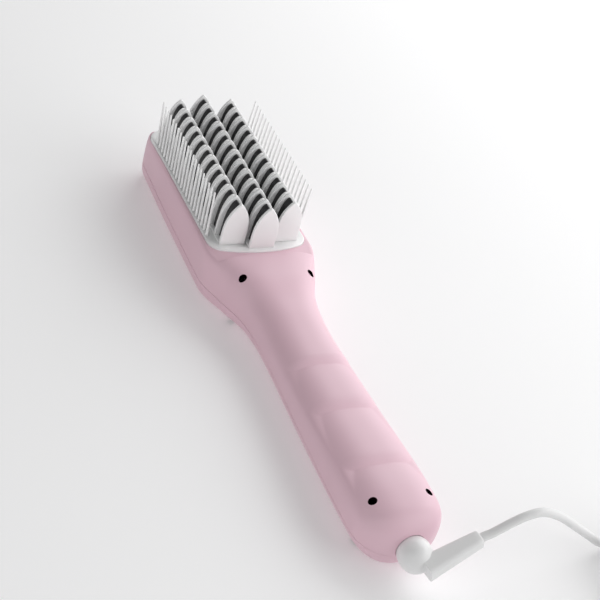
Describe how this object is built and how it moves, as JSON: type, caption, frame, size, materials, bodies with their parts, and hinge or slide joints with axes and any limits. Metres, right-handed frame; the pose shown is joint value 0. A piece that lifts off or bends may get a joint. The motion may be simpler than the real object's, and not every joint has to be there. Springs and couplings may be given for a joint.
{
  "type": "hair straightening brush",
  "caption": "Corded hair straightening brush with heated teeth behind white guards, needle rows, back buttons and a swivelling cord exit.",
  "frame": {"origin": "middle of the brush's outline in plan, on the surface that its flat back rests on; the free cord and plug aren't counted", "axes": "+Y along the brush from the handle end to the tip of the head, +Z from the back to the teeth, +X to the right seen from the handle with the teeth up"},
  "size_m": [0.1684, 0.3422, 0.0493],
  "materials": {
    "pink_housing": "satin",
    "white_plastic": "satin",
    "white_needles": "satin",
    "black_teeth": "satin ceramic coating",
    "aluminium_plate": "as rolled",
    "ceramic": "matt",
    "insulation": "film",
    "steel": "zinc plated",
    "board_green": "solder resist",
    "yellow_film": "matt",
    "black_plastic": "matt",
    "brass": "plain",
    "clear_lens": "clear",
    "led_body": "clear",
    "white_buttons": "gloss",
    "swivel_white": "satin",
    "soft_white": "soft vinyl",
    "wire_red": "vinyl",
    "tie_black": "vinyl",
    "pin_metal": "nickel plated"
  },
  "bodies": {
    "housing": {"front_shell": "pink_housing", "back_cover": "pink_housing", "comb_frame": "white_plastic", "left_guard_row": "white_plastic", "middle_guard_row": "white_plastic", "right_guard_row": "white_plastic", "left_heater_row": "black_teeth", "middle_heater_row": "black_teeth", "right_heater_row": "black_teeth", "left_needles": "white_needles", "right_needles": "white_needles", "heat_plate": "aluminium_plate", "ptc_heaters": "ceramic", "insulation_sheet": "insulation", "pressure_plate": "steel", "heater_screws": "steel", "thermistor": "black_plastic", "thermal_fuse": "steel", "control_board": "board_green", "filter_capacitor": "yellow_film", "triac": "black_plastic", "tact_switches": "black_plastic", "board_screws": "steel", "indicator_leds": "led_body", "indicator_lens": "clear_lens", "housing_screws": "steel", "contact_holder": "black_plastic", "contact_springs": "brass", "lead_wires": "wire_red"},
    "power_button": {"power_button": "white_buttons"},
    "plus_button": {"plus_button": "white_buttons"},
    "minus_button": {"minus_button": "white_buttons"},
    "cord_swivel": {"swivel_ball": "swivel_white", "slip_rings": "brass", "retaining_clip": "steel", "strain_relief": "soft_white", "cord_run": "soft_white", "cord_coil": "soft_white", "cord_tail": "soft_white", "cord_ties": "tie_black", "plug_body": "soft_white", "plug_pins": "pin_metal"}
  },
  "joints": [
    {"name": "cord_swivel_turn", "type": "hinge", "parent": "housing", "child": "cord_swivel", "pos_m": [0, -0.1292, 0.013], "axis": [0, 1, 0], "continuous": true},
    {"name": "power_button_press", "type": "slide", "parent": "housing", "child": "power_button", "axis": [0, 0, 1], "range_m": [0, 0.0005], "stiffness_N_per_m": 3000},
    {"name": "plus_button_press", "type": "slide", "parent": "housing", "child": "plus_button", "axis": [0, 0, 1], "range_m": [0, 0.0005], "stiffness_N_per_m": 3000},
    {"name": "minus_button_press", "type": "slide", "parent": "housing", "child": "minus_button", "axis": [0, 0, 1], "range_m": [0, 0.0005], "stiffness_N_per_m": 3000}
  ]
}
